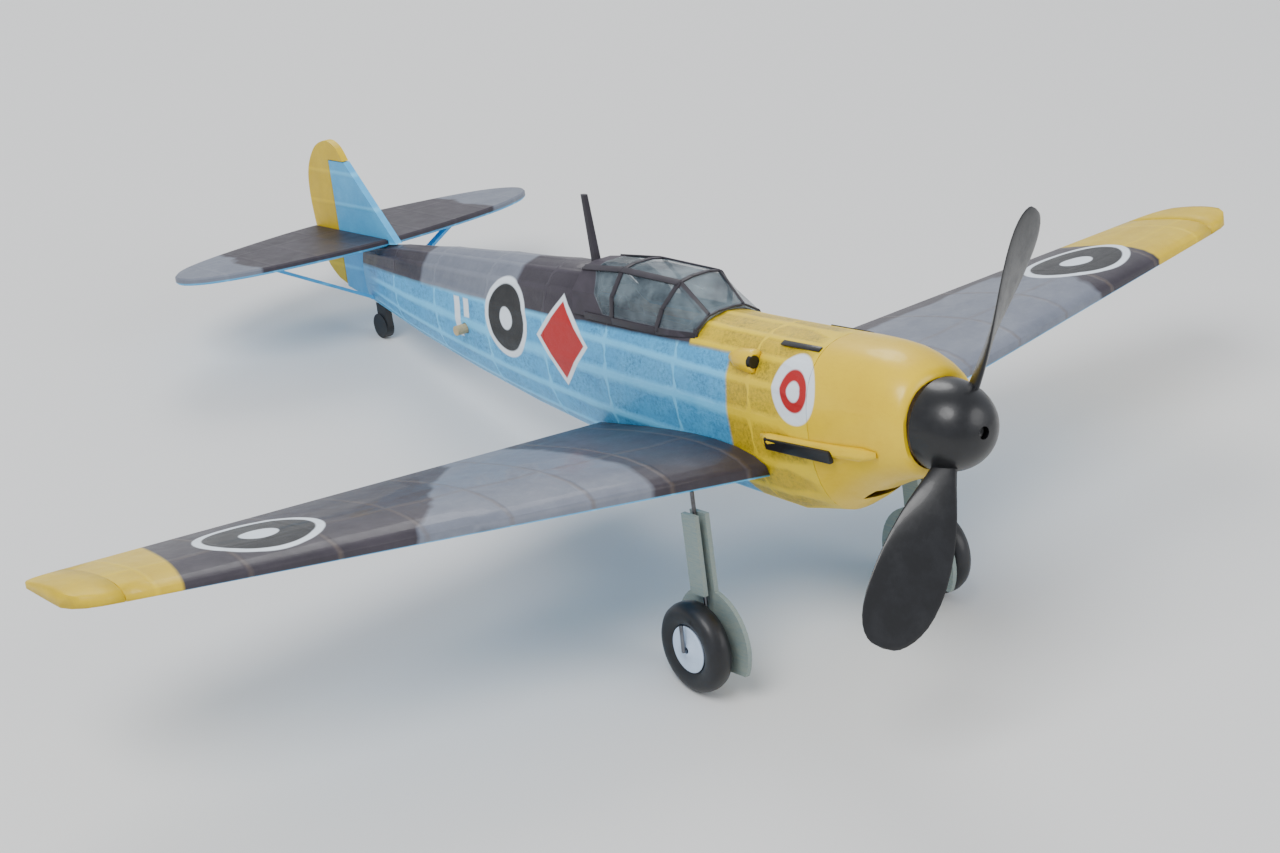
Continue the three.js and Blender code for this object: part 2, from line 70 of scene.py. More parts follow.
# %% [markdown]
# Shader maths reads better as ordinary sums. The nodes could be added one by one, but a paint border
# would then take a dozen lines and hide what it means. A Signal is one socket of a node tree: adding,
# multiplying or comparing Signals adds the Math nodes for it, and `node` makes any other node.


# %% A socket that does sums
class Signal:
    """One output socket, used like a number."""

    def __init__(self, socket):
        self.socket = socket

    def node(self, kind, settings=None, sockets=None, out=0):
        tree = self.socket.id_data
        made = tree.nodes.new(kind)
        for key, value in (settings or {}).items():
            setattr(made, key, value)
        for key, value in (sockets or {}).items():
            if isinstance(value, Signal):
                tree.links.new(value.socket, made.inputs[key])
            else:
                made.inputs[key].default_value = value
        return Signal(made.outputs[out])

    def math(self, operation, first, second=0.0):
        return self.node("ShaderNodeMath", {"operation": operation}, {0: first, 1: second})

    def __add__(self, other):
        return self.math("ADD", self, other)

    def __sub__(self, other):
        return self.math("SUBTRACT", self, other)

    def __mul__(self, other):
        return self.math("MULTIPLY", self, other)

    def __truediv__(self, other):
        return self.math("DIVIDE", self, other)

    def __rsub__(self, other):
        return self.math("SUBTRACT", other, self)

    __radd__ = __add__
    __rmul__ = __mul__

    def size(self):
        return self.math("ABSOLUTE", self)

    def either(self, other):
        return self.math("MAXIMUM", self, other)

    def both(self, other):
        return self.math("MINIMUM", self, other)

    def length_with(self, other):
        squares = self * self + other * other
        return self.math("SQRT", squares)

    def above(self, edge, soft=0.4):
        limits = {"From Min": -soft, "From Max": soft}
        return self.node("ShaderNodeMapRange", {}, {"Value": self - edge, **limits})

    def below(self, edge, soft=0.4):
        return 1 - self.above(edge, soft)

    def repeats(self, step, width, shift=0.0, soft=0.3):
        """1 on thin lines that come every `step` along this value."""
        apart = self.math("PINGPONG", self + shift, step / 2)
        return apart.below(width / 2, soft)

    def mix(self, low, high):
        """The colour low where this is 0 and high where it is 1."""
        return self.node("ShaderNodeMix", {"data_type": "RGBA"}, {0: self, 6: low, 7: high}, out=2)

    def noise(self, scale, detail=3.0, rough=0.55):
        sizes = {"Scale": scale, "Detail": detail, "Roughness": rough}
        return self.node("ShaderNodeTexNoise", {}, {"Vector": self, **sizes})

    def stretched(self, x, y, z):
        return self.node("ShaderNodeMapping", {}, {"Vector": self, "Scale": (x, y, z)})


print("shader sums ready")

# %% [markdown]
# A dope maker's colour card names each colour once. Colours could be typed where they are used, but
# the same yellow is on four parts. They are given as they look on a screen and turned into the linear
# numbers that the renderer works in.


# %% The colour card
def paint(red, green, blue):
    """A colour given as 0 to 255 on a screen, in linear light."""

    def linear(value):
        share = value / 255
        return share / 12.92 if share <= 0.04045 else ((share + 0.055) / 1.055) ** 2.4

    return (linear(red), linear(green), linear(blue), 1.0)


SKY = paint(60, 160, 216)
SKY_LIGHT = paint(104, 204, 252)
SKY_DEEP = paint(30, 102, 150)
CHARCOAL = paint(40, 35, 44)
CHARCOAL_LIGHT = paint(68, 61, 72)
SLATE = paint(100, 106, 120)
SLATE_LIGHT = paint(132, 138, 150)
STRAW = paint(200, 168, 8)
STRAW_LIGHT = paint(236, 204, 16)
STRAW_DEEP = paint(112, 102, 24)
LEMON = paint(234, 197, 0)
LEMON_DEEP = paint(208, 164, 0)
CREAM = paint(228, 238, 246)
SCARLET = paint(178, 0, 4)
INK = paint(9, 10, 13)
RIB_BROWN = paint(96, 84, 74)
print("sky blue in linear light", [round(part, 3) for part in SKY[:3]])

# %% [markdown]
# Every finish starts the same way: a material, its shader, and the surface's own Object coordinates
# turned into level millimetres by one Mapping node. Unwrapped coordinates could carry the patterns
# too, but badges and borders cross from part to part here, and one drawing frame keeps them in line.


# %% Starting a finish
def start_finish(name):
    """A new material, its shader, and the level drawing's coordinates in millimetres."""
    material = bpy.data.materials.new(name)
    material.use_nodes = True
    tree = material.node_tree
    here = Signal(tree.nodes.new("ShaderNodeTexCoord").outputs["Object"])
    turn = {"Vector": here, "Location": NOSE, "Rotation": (0, -TILT, 0), "Scale": (0.001,) * 3}
    level = here.node("ShaderNodeMapping", {"vector_type": "TEXTURE"}, turn)
    return material, tree.nodes["Principled BSDF"], level


def parts_of(level):
    split = level.node("ShaderNodeSeparateXYZ", {}, {"Vector": level}).socket.node
    return [Signal(split.outputs[i]) for i in range(3)]


def connect(shader, **channels):
    """Links or sets the shader's sockets; underscores in the names stand for spaces."""
    for name, value in channels.items():
        socket = shader.inputs[name.replace("_", " ")]
        if isinstance(value, Signal):
            shader.id_data.links.new(value.socket, socket)
        else:
            socket.default_value = value


def bump(height, strength=0.5, depth_mm=0.1):
    sockets = {"Height": height, "Strength": strength, "Distance": depth_mm * 0.001}
    return height.node("ShaderNodeBump", {}, sockets)


print("finishes start from", round(NOSE.x * 1000, 1), "mm ahead of the middle")

# %% [markdown]
# Dyed tissue is never one colour. The dope leaves pools and fades of a centimetre or so, the paper
# fibres make a fine grain, and the paper turns lighter where it is glued down on a stringer, former
# or rib. A painted texture could show this, but noise needs no unwrapping and never repeats: several
# scales of it and one mask of frame lines serve every panel.


# %% Dyed tissue
def tissue_skin(level, colour, light, frame_lines, glued=0.55):
    """Blotches, fibres and paler glued lines over a tissue colour; gives colour and height."""
    blotch = level.noise(0.09, 4.0, 0.6).above(0.5, 0.16)
    fibre = level.stretched(0.5, 2.2, 2.2).noise(1.6, 3.0, 0.7).above(0.55, 0.2)
    stain = level.noise(0.35, 2.0).above(0.56, 0.12)
    faded = blotch * 0.3 + fibre * 0.14 + stain * 0.12 + frame_lines * glued
    tinted = faded.both(1.0)
    wrinkle = level.noise(0.28, 3.0, 0.6) * 0.5 + fibre * 0.12
    return tinted.mix(colour, light), wrinkle + frame_lines * 0.8


def tissue_gloss(level):
    return level.noise(0.22, 3.0) * 0.25 + 0.36


print("tissue skin ready")

# %% [markdown]
# Badges and colour borders are doped on through a mask. They could be thin separate meshes, but those
# would stand off the dips of the tissue. Each stencil here is a sum that is 1 inside its shape and 0
# outside it, with an edge about half a millimetre soft.


# %% Simple painted shapes
def disc(u, v, centre_u, centre_v, radius, soft=0.25):
    return (u - centre_u).length_with(v - centre_v).below(radius, soft)


def diamond(u, v, centre_u, centre_v, reach, soft=0.25):
    return ((u - centre_u).size() + (v - centre_v).size()).below(reach, soft)


def panel(u, v, u0, u1, v0, v1, soft=0.25):
    across = (u - (u0 + u1) / 2).size().below(abs(u1 - u0) / 2, soft)
    return across.both((v - (v0 + v1) / 2).size().below(abs(v1 - v0) / 2, soft))


def paint_rings(colour, u, v, centre, rings, where=1):
    """Discs of one centre over a colour, the widest first."""
    for radius, mark in rings:
        colour = (disc(u, v, *centre, radius) * where).mix(colour, mark)
    return colour


print("stencils ready")

# %% [markdown]
# The fuselage is blue below, dark on top, with a grey band ahead of the tail and the same yellow as
# the nose moulding as far back as the wing. Its frame shows through as a grid: formers every few
# centimetres, and stringers that run from nose to tail. Each colour could be a material of its own on
# its own faces, but the borders wander between the faces, so one material mixes all four by place.

# %% The fuselage finish
GREY_REAR, GREY_FRONT = -237, -178
YELLOW_FROM_TOP, YELLOW_FROM_SIDE = -88, -69
UPPER_EDGE, UPPER_SLOPE = 12.2, 0.012
SIDE_ROUNDEL, ROUNDEL_RINGS = (-182, 6.7), [(12.4, CREAM), (10.4, INK), (3.6, CREAM)]
NOSE_BADGE, NOSE_RINGS = (-40, 6.4), [(9.0, CREAM), (5.6, SCARLET), (2.7, CREAM)]
DIAMOND_MIDDLE, DIAMOND_LAYERS = (-150, 4.4), [(13.9, CREAM), (11.7, SCARLET)]
WHITE_BARS, BARS_TOP = [(-214.5, -211, -3.5), (-208.5, -205.2, 3.4)], 9.5  # rear, front, bottom


def speckled(level, lines, colour, deep):
    """Dark flecks where the paper hangs free between the sticks, and none on the glued lines."""
    flecks = level.noise(0.9, 6.0, 0.8).above(0.53, 0.09) * level.noise(0.12, 3.0).above(0.42, 0.2)
    return (flecks * (1 - lines) * 0.75).mix(colour, deep)


def side_badges(colour, x, y, z):
    """Plain geometric badges on both sides of the fuselage."""
    side = y.size().above(3.0, 0.5)
    colour = paint_rings(colour, x, z, SIDE_ROUNDEL, ROUNDEL_RINGS, side)
    for reach, mark in DIAMOND_LAYERS:
        colour = (diamond(x, z, *DIAMOND_MIDDLE, reach) * side).mix(colour, mark)
    for rear, front, bottom in WHITE_BARS:
        colour = (panel(x, z, rear, front, bottom, BARS_TOP) * side).mix(colour, CREAM)
    return colour


def nose_badge(colour, x, y, z):
    """A plain red ring on white, mostly on the tissue and partly on the moulding."""
    return paint_rings(colour, x, z, NOSE_BADGE, NOSE_RINGS, y.size().above(8.0, 0.5))


def fuselage_finish():
    material, shader, level = start_finish("doped_tissue_fuselage")
    x, y, z = parts_of(level)
    lines = level.node("ShaderNodeAttribute", {"attribute_name": "frame_line"}, out=2).above(0.74, 0.14)
    blue, height = tissue_skin(level, SKY, SKY_LIGHT, lines, 0.75)
    blue = speckled(level, lines, blue, SKY_DEEP)
    dark, _ = tissue_skin(level, CHARCOAL, CHARCOAL_LIGHT, lines, 0.25)
    grey, _ = tissue_skin(level, SLATE, SLATE_LIGHT, lines, 0.3)
    straw, _ = tissue_skin(level, STRAW, STRAW_LIGHT, lines, 0.7)
    straw = speckled(level, lines, straw, STRAW_DEEP)
    wander = (level.noise(0.05, 2.0) - 0.5) * 4
    along = x + wander
    grey_band = along.below(GREY_FRONT, 1.0).both(along.above(GREY_REAR, 1.0))
    upper_edge = (x + 74) * UPPER_SLOPE + UPPER_EDGE
    is_upper = (z + wander * 0.2).above(upper_edge, 0.6)
    colour = is_upper.mix(blue, grey_band.mix(dark, grey))
    yellow_top = is_upper * x.above(YELLOW_FROM_TOP, 0.4)
    yellow_side = (1 - is_upper) * x.above(YELLOW_FROM_SIDE, 0.6)
    colour = (yellow_top + yellow_side).mix(colour, straw)
    colour = nose_badge(side_badges(colour, x, y, z), x, y, z)
    skin = {"Base_Color": colour, "Roughness": tissue_gloss(level), "Coat_Weight": 0.12}
    connect(shader, **skin, Normal=bump(height, 0.7, 0.3))
    return material


FUSELAGE = fuselage_finish()
print("made", FUSELAGE.name, "with", len(FUSELAGE.node_tree.nodes), "nodes")

# %% [markdown]
# The wings carry a wandering two-tone scheme with yellow tips and blue undersides. Their ribs press
# through the paper as faint brown lines. A mask painted on the points could carry those lines, but
# the ribs are evenly spaced across the span, so the sums find them from the span alone.

# %% The wing finish
RIB_STEP, RIB_START = 23.4, 21.4
SPAR_X, SPAR_SWEEP = -83.5, -0.05
WING_Z, DIHEDRAL = -20.7, 0.0872
LEFT_TIP, RIGHT_TIP, TIP_SLANT = 164, 178.5, -0.2
DARK_ROOT, DARK_OUTER, DARK_REAR = 50, 133, 119
SLANT_FROM, SLANT_X, SLANT = 129.5, -55, 0.78
WING_ROUNDEL, WING_RINGS = (-97, 148), [(17, CREAM), (14.6, INK), (5.2, CREAM)]


def wing_scheme(x, span, wander, is_left):
    """1 where the wing is dark and 0 where it is grey; the two wings differ."""
    slanting_edge = (x - SLANT_X) * SLANT + SLANT_FROM
    root_patch = (span + wander * 0.5).below(DARK_ROOT, 1.0)
    right_dark = (span + wander).above(slanting_edge, 1.0).either(root_patch)
    rear_strip = (x * -1 + wander * 0.5).above(DARK_REAR, 1.0)
    left_dark = (span + wander).above(DARK_OUTER, 1.0).either(rear_strip)
    return is_left * left_dark + (1 - is_left) * right_dark


def wing_finish():
    material, shader, level = start_finish("doped_tissue_wings")
    x, y, z = parts_of(level)
    span = y.size()
    ribs = span.repeats(RIB_STEP, 1.3, RIB_STEP - RIB_START, 0.4)
    spar = (x - SPAR_X - span * SPAR_SWEEP).size().below(1.0, 0.5)
    lines = ribs.either(spar * 0.7)
    wander = (level.noise(0.06, 2.0) - 0.5) * 14
    dark, height = tissue_skin(level, CHARCOAL, CHARCOAL_LIGHT, lines, 0.12)
    grey, _ = tissue_skin(level, SLATE, SLATE_LIGHT, lines, 0.05)
    straw, _ = tissue_skin(level, STRAW, STRAW_LIGHT, lines, 0.3)
    blue, _ = tissue_skin(level, SKY, SKY_LIGHT, lines, 0.6)
    is_left = y.above(0, 0.01)
    colour = wing_scheme(x, span, wander, is_left).mix(grey, dark)
    colour = (lines * level.noise(0.3) * 0.75).mix(colour, RIB_BROWN)
    left_tip = is_left * span.above(LEFT_TIP, 0.5)
    right_tip = (1 - is_left) * (span + (x + 80) * TIP_SLANT).above(RIGHT_TIP, 0.5)
    tip = left_tip + right_tip
    colour = paint_rings(tip.mix(colour, straw), x, span, WING_ROUNDEL, WING_RINGS)
    under = (z - (span * DIHEDRAL + WING_Z)).below(-0.45, 0.15)
    colour = (under * (1 - tip)).mix(colour, blue)
    skin = {"Base_Color": colour, "Roughness": tissue_gloss(level), "Coat_Weight": 0.12}
    connect(shader, **skin, Normal=bump(height, 0.6, 0.3))
    return material


WINGS = wing_finish()
print("made", WINGS.name, "with", len(WINGS.node_tree.nodes), "nodes")

# %% [markdown]
# The tail is flat sheet with tissue over it. The tailplane is dark with grey ends, and blue below.
# The fin, the tail struts, the rudder and the wing tips are each one colour. They could share the
# fuselage's finish, but none of its borders reach them, so one small recipe makes them all.

# %% The tail finishes
TAIL_HINGE_X, TAIL_MIDDLE_Z, GREY_ENDS_FROM = -299.5, 18.2, 45


def tailplane_finish():
    material, shader, level = start_finish("doped_tissue_tailplane")
    x, y, z = parts_of(level)
    hinge = (x - TAIL_HINGE_X).size().below(0.7, 0.3)
    ribs = y.size().repeats(15.0, 1.2, 3.0, 0.4).either(hinge)
    dark, height = tissue_skin(level, CHARCOAL, CHARCOAL_LIGHT, ribs, 0.15)
    grey, _ = tissue_skin(level, SLATE, SLATE_LIGHT, ribs, 0.15)
    blue, _ = tissue_skin(level, SKY, SKY_LIGHT, ribs, 0.6)
    wander = (level.noise(0.08, 2.0) - 0.5) * 10
    colour = (y.size() + wander).above(GREY_ENDS_FROM, 0.8).mix(dark, grey)
    colour = z.below(TAIL_MIDDLE_Z, 0.2).mix(colour, blue)
    connect(shader, Base_Color=colour, Roughness=tissue_gloss(level), Normal=bump(height, 0.5, 0.25))
    return material


def sheet_finish(name, colour, light, glued):
    """One-colour tissue over balsa, with faint lines at even heights."""
    material, shader, level = start_finish(name)
    ribs = parts_of(level)[2].repeats(11.0, 1.2, 4.0, 0.4)
    skin, height = tissue_skin(level, colour, light, ribs, glued)
    connect(shader, Base_Color=skin, Roughness=tissue_gloss(level), Normal=bump(height, 0.5, 0.25))
    return material


TAILPLANE = tailplane_finish()
FIN = sheet_finish("doped_tissue_fin", SKY, SKY_LIGHT, 0.6)
RUDDER = sheet_finish("doped_tissue_rudder", STRAW, STRAW_LIGHT, 0.4)
TIPS = sheet_finish("doped_balsa_tips", STRAW, STRAW_LIGHT, 0.0)
print("made the tail finishes")

# %% [markdown]
# The propeller, the spinner and the wheels are black plastic: satin, with fine scratches and dust.
# The scratches could be cut into the mesh, but they are far finer than its faces, so they change only
# the colour, the roughness and the normal. The wheel faces and canopy frames are painted in the same
# way and share the recipe.


# %% Moulded plastics
def plastic_finish(name, colour, worn, gloss, coat):
    material, shader, level = start_finish(name)
    peel = level.noise(0.5, 2.0)
    scratches = level.stretched(0.3, 3.0, 1.0).noise(1.2, 6.0, 0.75).above(0.62, 0.08)
    dust = level.noise(0.16, 5.0, 0.65).above(0.6, 0.14)
    skin = (dust * 0.3 + scratches * 0.2).mix(colour, worn)
    rough = scratches * 0.12 + dust * 0.14 + gloss
    height = peel * 0.5 + scratches * 0.1
    connect(shader, Base_Color=skin, Roughness=rough, Coat_Weight=coat, Normal=bump(height, 0.25, 0.12))
    return material


BLACK = plastic_finish("black_moulded_plastic", INK, paint(34, 36, 42), 0.32, 0.12)
TYRE_BLACK = plastic_finish("black_tyre_plastic", paint(12, 13, 17), paint(44, 47, 56), 0.42, 0.1)
WHEEL_PAINT = plastic_finish("pale_wheel_paint", paint(196, 214, 236), paint(150, 168, 196), 0.4, 0.1)
FRAME_PAINT = plastic_finish("dark_frame_paint", paint(38, 34, 42), paint(78, 72, 84), 0.5, 0.0)

# %% [markdown]
# The nose is a thin glossy pressing with a faint orange peel and scuffs from handling. It could use
# the recipe above, but the edge of the round badge laps over from the tissue, so it has its own finish
# that calls the same badge function. The two parts of the badge then meet at the joint.


# %% The nose moulding, with a plain round badge
def cowling_finish():
    material, shader, level = start_finish("yellow_moulded_nose")
    x, y, z = parts_of(level)
    dust = level.noise(0.1, 5.0, 0.65).above(0.55, 0.18)
    scuff = level.stretched(0.4, 2.5, 1.2).noise(0.9, 5.0, 0.75).above(0.6, 0.1)
    colour = nose_badge((dust * 0.35 + scuff * 0.2).mix(LEMON, LEMON_DEEP), x, y, z)
    height = level.noise(0.25, 2.0) * 0.6 + scuff * 0.1
    rough = dust * 0.16 + scuff * 0.12 + 0.3
    connect(shader, Base_Color=colour, Roughness=rough, Coat_Weight=0.15, Normal=bump(height, 0.25, 0.2))
    return material


NOSE_YELLOW = cowling_finish()
print("made the plastics")

# %% [markdown]
# Bare materials make up the rest. Balsa and dowel have long grain with darker pores; wire is drawn, so
# its fine lines run one way and blur the shine; the elastic has a pale bloom; the canopy is thin clear
# sheet with paint over its sill. Noise stretched along one axis makes grain and drawn lines alike, so
# no texture has to be painted.


# %% Wood, wire, rubber and clear sheet
def wood_finish(name, colour, dark):
    material, shader, level = start_finish(name)
    grain = level.stretched(0.25, 2.5, 2.5).noise(0.9, 6.0, 0.65)
    pores = level.stretched(0.8, 7.0, 7.0).noise(1.1, 3.0).above(0.62, 0.08)
    skin = (grain.above(0.5, 0.25) * 0.6 + pores * 0.3).mix(colour, dark)
    height = bump(grain - pores * 0.5, 0.4, 0.1)
    connect(shader, Base_Color=skin, Roughness=pores * 0.15 + 0.6, Normal=height)
    return material


def wire_finish():
    material, shader, level = start_finish("bright_wire")
    drawn = level.stretched(0.2, 5.0, 5.0).noise(2.0, 4.0, 0.7)
    tarnish = level.noise(0.2, 3.0).above(0.55, 0.15)
    skin = tarnish.mix(paint(120, 122, 128), paint(76, 70, 66))
    rough = drawn * 0.2 + 0.22
    connect(shader, Base_Color=skin, Metallic=1.0, Roughness=rough, Normal=bump(drawn, 0.2, 0.03))
    return material


def rubber_finish():
    material, shader, level = start_finish("tan_elastic")
    bloom = level.noise(0.4, 4.0, 0.6)
    skin = bloom.mix(paint(150, 108, 62), paint(206, 170, 120))
    connect(shader, Base_Color=skin, Roughness=bloom * 0.2 + 0.5, Normal=bump(bloom, 0.3, 0.08))
    return material


def clear_finish():
    """Clear sheet that is painted over along the sill and behind the slanting rear window."""
    material, shader, level = start_finish("clear_canopy_sheet")
    x, _, z = parts_of(level)
    haze = level.noise(0.12, 4.0, 0.6).above(0.5, 0.2)
    behind = (x + (z - 14) * 0.75).below(-127.5, 0.4)
    painted = behind.either(z.below(15.2, 0.3))
    glass = haze.mix(paint(58, 74, 86), paint(140, 158, 166))
    skin = painted.mix(glass, haze.mix(CHARCOAL, CHARCOAL_LIGHT))
    see_through = (haze * 0.16 + 0.38 + painted).both(1.0)
    rough = painted * 0.45 + haze * 0.12 + 0.08
    connect(shader, Base_Color=skin, Roughness=rough, Alpha=see_through)
    return material


BALSA = wood_finish("bare_balsa", paint(214, 184, 136), paint(164, 124, 78))
DOWEL = wood_finish("dowel", paint(196, 180, 140), paint(150, 132, 96))
GEAR_WOOD = wood_finish("grey_green_gear_wood", paint(142, 150, 138), paint(96, 124, 136))
WIRE = wire_finish()
RUBBER = rubber_finish()
CLEAR = clear_finish()
print("made", len(bpy.data.materials), "materials so far")

# %% [markdown]
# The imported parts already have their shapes, so each only needs a finish, chosen by its name. A part
# that isn't listed is frame wood inside the covering. Some parts are stood in for by finer pieces
# further on, and are dressed all the same.

# %% Dress the working model
FINISHES = {
    "fuselage_covering": FUSELAGE,
    "cowling": NOSE_YELLOW,
    "intake_scoop": NOSE_YELLOW,
    "fin": FIN,
    "rudder": RUDDER,
    "canopy": CLEAR,
    "antenna_mast": FRAME_PAINT,
    "tail_wheel": TYRE_BLACK,
    "motor_peg": DOWEL,
    "prop_shaft": WIRE,
    "thrust_washer": WIRE,
    "nose_button": BLACK,
    "spinner": BLACK,
    "propeller": BLACK,
    "motor_front": RUBBER,
    "motor_rear": RUBBER,
}
for side in ("left", "right"):
    FINISHES[side + "_wing_covering"] = WINGS
    FINISHES[side + "_wing_tip"] = TIPS
    FINISHES[side + "_stabiliser"] = TAILPLANE
    FINISHES[side + "_stab_strut"] = FIN
    FINISHES[side + "_exhaust"] = NOSE_YELLOW
    FINISHES[side + "_gear_wire"] = WIRE
    FINISHES[side + "_gear_fairing"] = GEAR_WOOD
    FINISHES[side + "_gear_cover"] = GEAR_WOOD
    FINISHES[side + "_tyre"] = TYRE_BLACK
    FINISHES[side + "_wheel_disc"] = WHEEL_PAINT

for name, node in nodes.items():
    node.data.materials.clear()
    node.data.materials.append(FINISHES.get(name, BALSA))
print("dressed", len(nodes), "parts")

# %% [markdown]
# A fitting is drawn in level millimetres. It could be placed by moving its object, but a finish that
# reads Object coordinates would slide with it, so one matrix stands the points themselves on the
# wheels and the object stays at the origin. Then the piece is handed to the body that carries it.


# %% Adding a new piece
def place_in_scene(name, data):
    made = bpy.data.objects.new(name, data)
    bpy.context.scene.collection.objects.link(made)
    return made


def stand_on_wheels(name, shape, material, sharp_degrees=38):
    """Turns a bmesh in level millimetres into an object of the standing aeroplane."""
    bmesh.ops.transform(shape, matrix=STANCE, verts=shape.verts)
    bmesh.ops.recalc_face_normals(shape, faces=shape.faces)
    mesh = bpy.data.meshes.new(name)
    shape.to_mesh(mesh)
    shape.free()
    mesh.shade_smooth()
    mesh.set_sharp_from_angle(angle=math.radians(sharp_degrees))
    mesh.materials.append(material)
    print(name, len(mesh.polygons), "faces")
    return place_in_scene(name, mesh)


def add_piece(name, shape, body, material, replaced=()):
    """A piece that rides on one body, in place of the parts that it stands for."""
    made = stand_on_wheels(name, shape, material)
    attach(made, body)
    if replaced:
        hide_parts(*replaced)
    return made


def edges_of(verts):
    return list({edge for vert in verts for edge in vert.link_edges})


print("a millimetre of the drawing is", STANCE.to_scale().x, "m")

# %% [markdown]
# The propeller is moulded in one piece. Its blade is a twisting lens that widens, flattens and turns
# as it goes out. A flat blade could be bent by modifiers, but its pitch would be hard to set, so
# circles are squashed to each section, turned to the pitch and bridged, and a subdivision surface
# smooths the blade between the sections.

# %% The propeller
PROP_MIDDLE = 5.9
PROP_ANGLE = math.radians(33.5)
PROP_PITCH = 150.0
STEEPEST = math.radians(66)
HUB_RADIUS, HUB_LENGTH, HUB_MIDDLE = 3.4, 9.0, 6.1
BLADE = [  # radius, chord, thickness, how far the section leads
    (2, 4.6, 3.0, 0.0), (9, 5.4, 2.8, 0.0), (14, 8.4, 2.3, 0.0), (22, 13.8, 1.9, 0.4),
    (31, 18.0, 1.5, 0.8), (40, 20.4, 1.3, 1.0), (48, 20.2, 1.1, 0.8), (53.5, 17.6, 1.0, 0.4),
    (57.4, 12.6, 0.9, 0.0), (59.5, 6.4, 0.8, 0.0),
]


def add_blade(shape, turned):
    rings = []
    for radius, chord, thick, lead in BLADE:
        twist = min(math.atan(PROP_PITCH / (2 * math.pi * radius)), STEEPEST)
        ring = bmesh.ops.create_circle(shape, cap_ends=False, segments=20, radius=0.5)["verts"]
        place = (
            Matrix.Rotation(turned - PROP_ANGLE, 4, "X")
            @ Matrix.Translation((PROP_MIDDLE, 0, radius))
            @ Matrix.Rotation(twist - math.pi / 2, 4, "Z")
            @ Matrix.Diagonal((chord, thick, 1, 1))
            @ Matrix.Translation((lead / chord, 0, 0))
        )
        bmesh.ops.transform(shape, matrix=place, verts=ring)
        rings.append(edges_of(ring))
    for inner, outer in zip(rings, rings[1:]):
        bmesh.ops.bridge_loops(shape, edges=inner + outer)
    bmesh.ops.holes_fill(shape, edges=rings[0] + rings[-1], sides=30)


prop_shape = bmesh.new()
for half_turn in (0, math.pi):
    add_blade(prop_shape, half_turn)
hub_size = {"radius1": HUB_RADIUS, "radius2": HUB_RADIUS, "depth": HUB_LENGTH}
hub = bmesh.ops.create_cone(prop_shape, cap_ends=True, segments=32, **hub_size)["verts"]
hub_place = Matrix.Translation((HUB_MIDDLE, 0, 0)) @ Matrix.Rotation(math.pi / 2, 4, "Y")
bmesh.ops.transform(prop_shape, matrix=hub_place, verts=hub)
prop_piece = add_piece("moulded_propeller", prop_shape, "propeller", BLACK, ["propeller"])
smoothing = prop_piece.modifiers.new("smooth_blades", "SUBSURF")
smoothing.levels = smoothing.render_levels = 1

# %% [markdown]
# The spinner is a blunt dome with a small hole at its tip for the shaft. A squashed sphere would be
# too pointed or too flat, so a quarter of its outline is worked out by a formula with a bluntness and
# spun round the thrust axis, in fine steps so that its edge stays round in a close view.

# %% The spinner
SPINNER_RADIUS, SPINNER_LENGTH, SPINNER_BACK = 12.3, 14.9, 0.3
TIP_HOLE, SHAFT_HOLE, BLUNTNESS = 1.7, 0.9, 0.8
POCKET_EDGE, POCKET_FLOOR = 12.9, 12.6
DOME_STEPS = 12
dome_end = math.acos((TIP_HOLE / SPINNER_RADIUS) ** (1 / BLUNTNESS))
outline = []
for step in range(DOME_STEPS + 1):
    angle = dome_end * step / DOME_STEPS
    along = SPINNER_BACK + (SPINNER_LENGTH - SPINNER_BACK) * math.sin(angle)
    outline.append((along, SPINNER_RADIUS * math.cos(angle) ** BLUNTNESS))
outline += [(POCKET_EDGE, TIP_HOLE), (POCKET_FLOOR, SHAFT_HOLE), (SPINNER_BACK, SHAFT_HOLE)]


def spin_outline(points, axis, steps):
    """A solid from a closed outline spun a full turn round an axis through the origin."""
    shape = bmesh.new()
    dots = [shape.verts.new(point) for point in points]
    chain = [shape.edges.new(pair) for pair in zip(dots, dots[1:] + dots[:1])]
    turn = {"cent": (0, 0, 0), "axis": axis, "angle": 2 * math.pi, "steps": steps, "use_merge": True}
    bmesh.ops.spin(shape, geom=dots + chain, **turn)
    return shape


spinner_shape = spin_outline([(along, 0, radius) for along, radius in outline], (1, 0, 0), 72)
add_piece("moulded_spinner", spinner_shape, "propeller", BLACK, ["spinner"])

# %% [markdown]
# A model wheel is a fat plastic ring with a dished face. A torus would make the ring, but not its flat
# flanks or its step down to the hub, so each half section is drawn once as a short chain of points and
# spun round the axle.

# %% The wheels
TYRE_SECTION = [  # across the wheel, out from the axle
    (-2.4, 1.0), (-2.4, 6.6), (-2.9, 7.3), (-3.4, 8.8), (-3.5, 10.2), (-3.2, 11.4), (-2.3, 12.4),
    (-0.9, 12.88), (0.9, 12.88), (2.3, 12.4), (3.2, 11.4), (3.5, 10.2), (3.4, 8.8), (2.9, 7.3),
    (2.4, 6.9), (2.4, 1.0),
]
DISC_SECTION = [
    (2.5, 1.0), (2.5, 6.6), (2.9, 6.7), (3.1, 6.2), (3.0, 5.4), (3.2, 4.4), (3.3, 2.4), (3.6, 2.0),
    (3.6, 1.0),
]
AXLE = Vector((-58.5, 44.2, -61.1))


def wheel_shape(section, side):
    shape = spin_outline([(0, side * across, out) for across, out in section], (0, 1, 0), 64)
    place = Matrix.Translation((AXLE.x, side * AXLE.y, AXLE.z))
    bmesh.ops.transform(shape, matrix=place, verts=shape.verts)
    return shape


for label, side in (("left", 1), ("right", -1)):
    body = label + "_wheel"
    tyre = wheel_shape(TYRE_SECTION, side)
    add_piece(label + "_rolling_tyre", tyre, body, TYRE_BLACK, [label + "_tyre"])
    face = wheel_shape(DISC_SECTION, side)
    add_piece(label + "_dished_face", face, body, WHEEL_PAINT, [label + "_wheel_disc"])

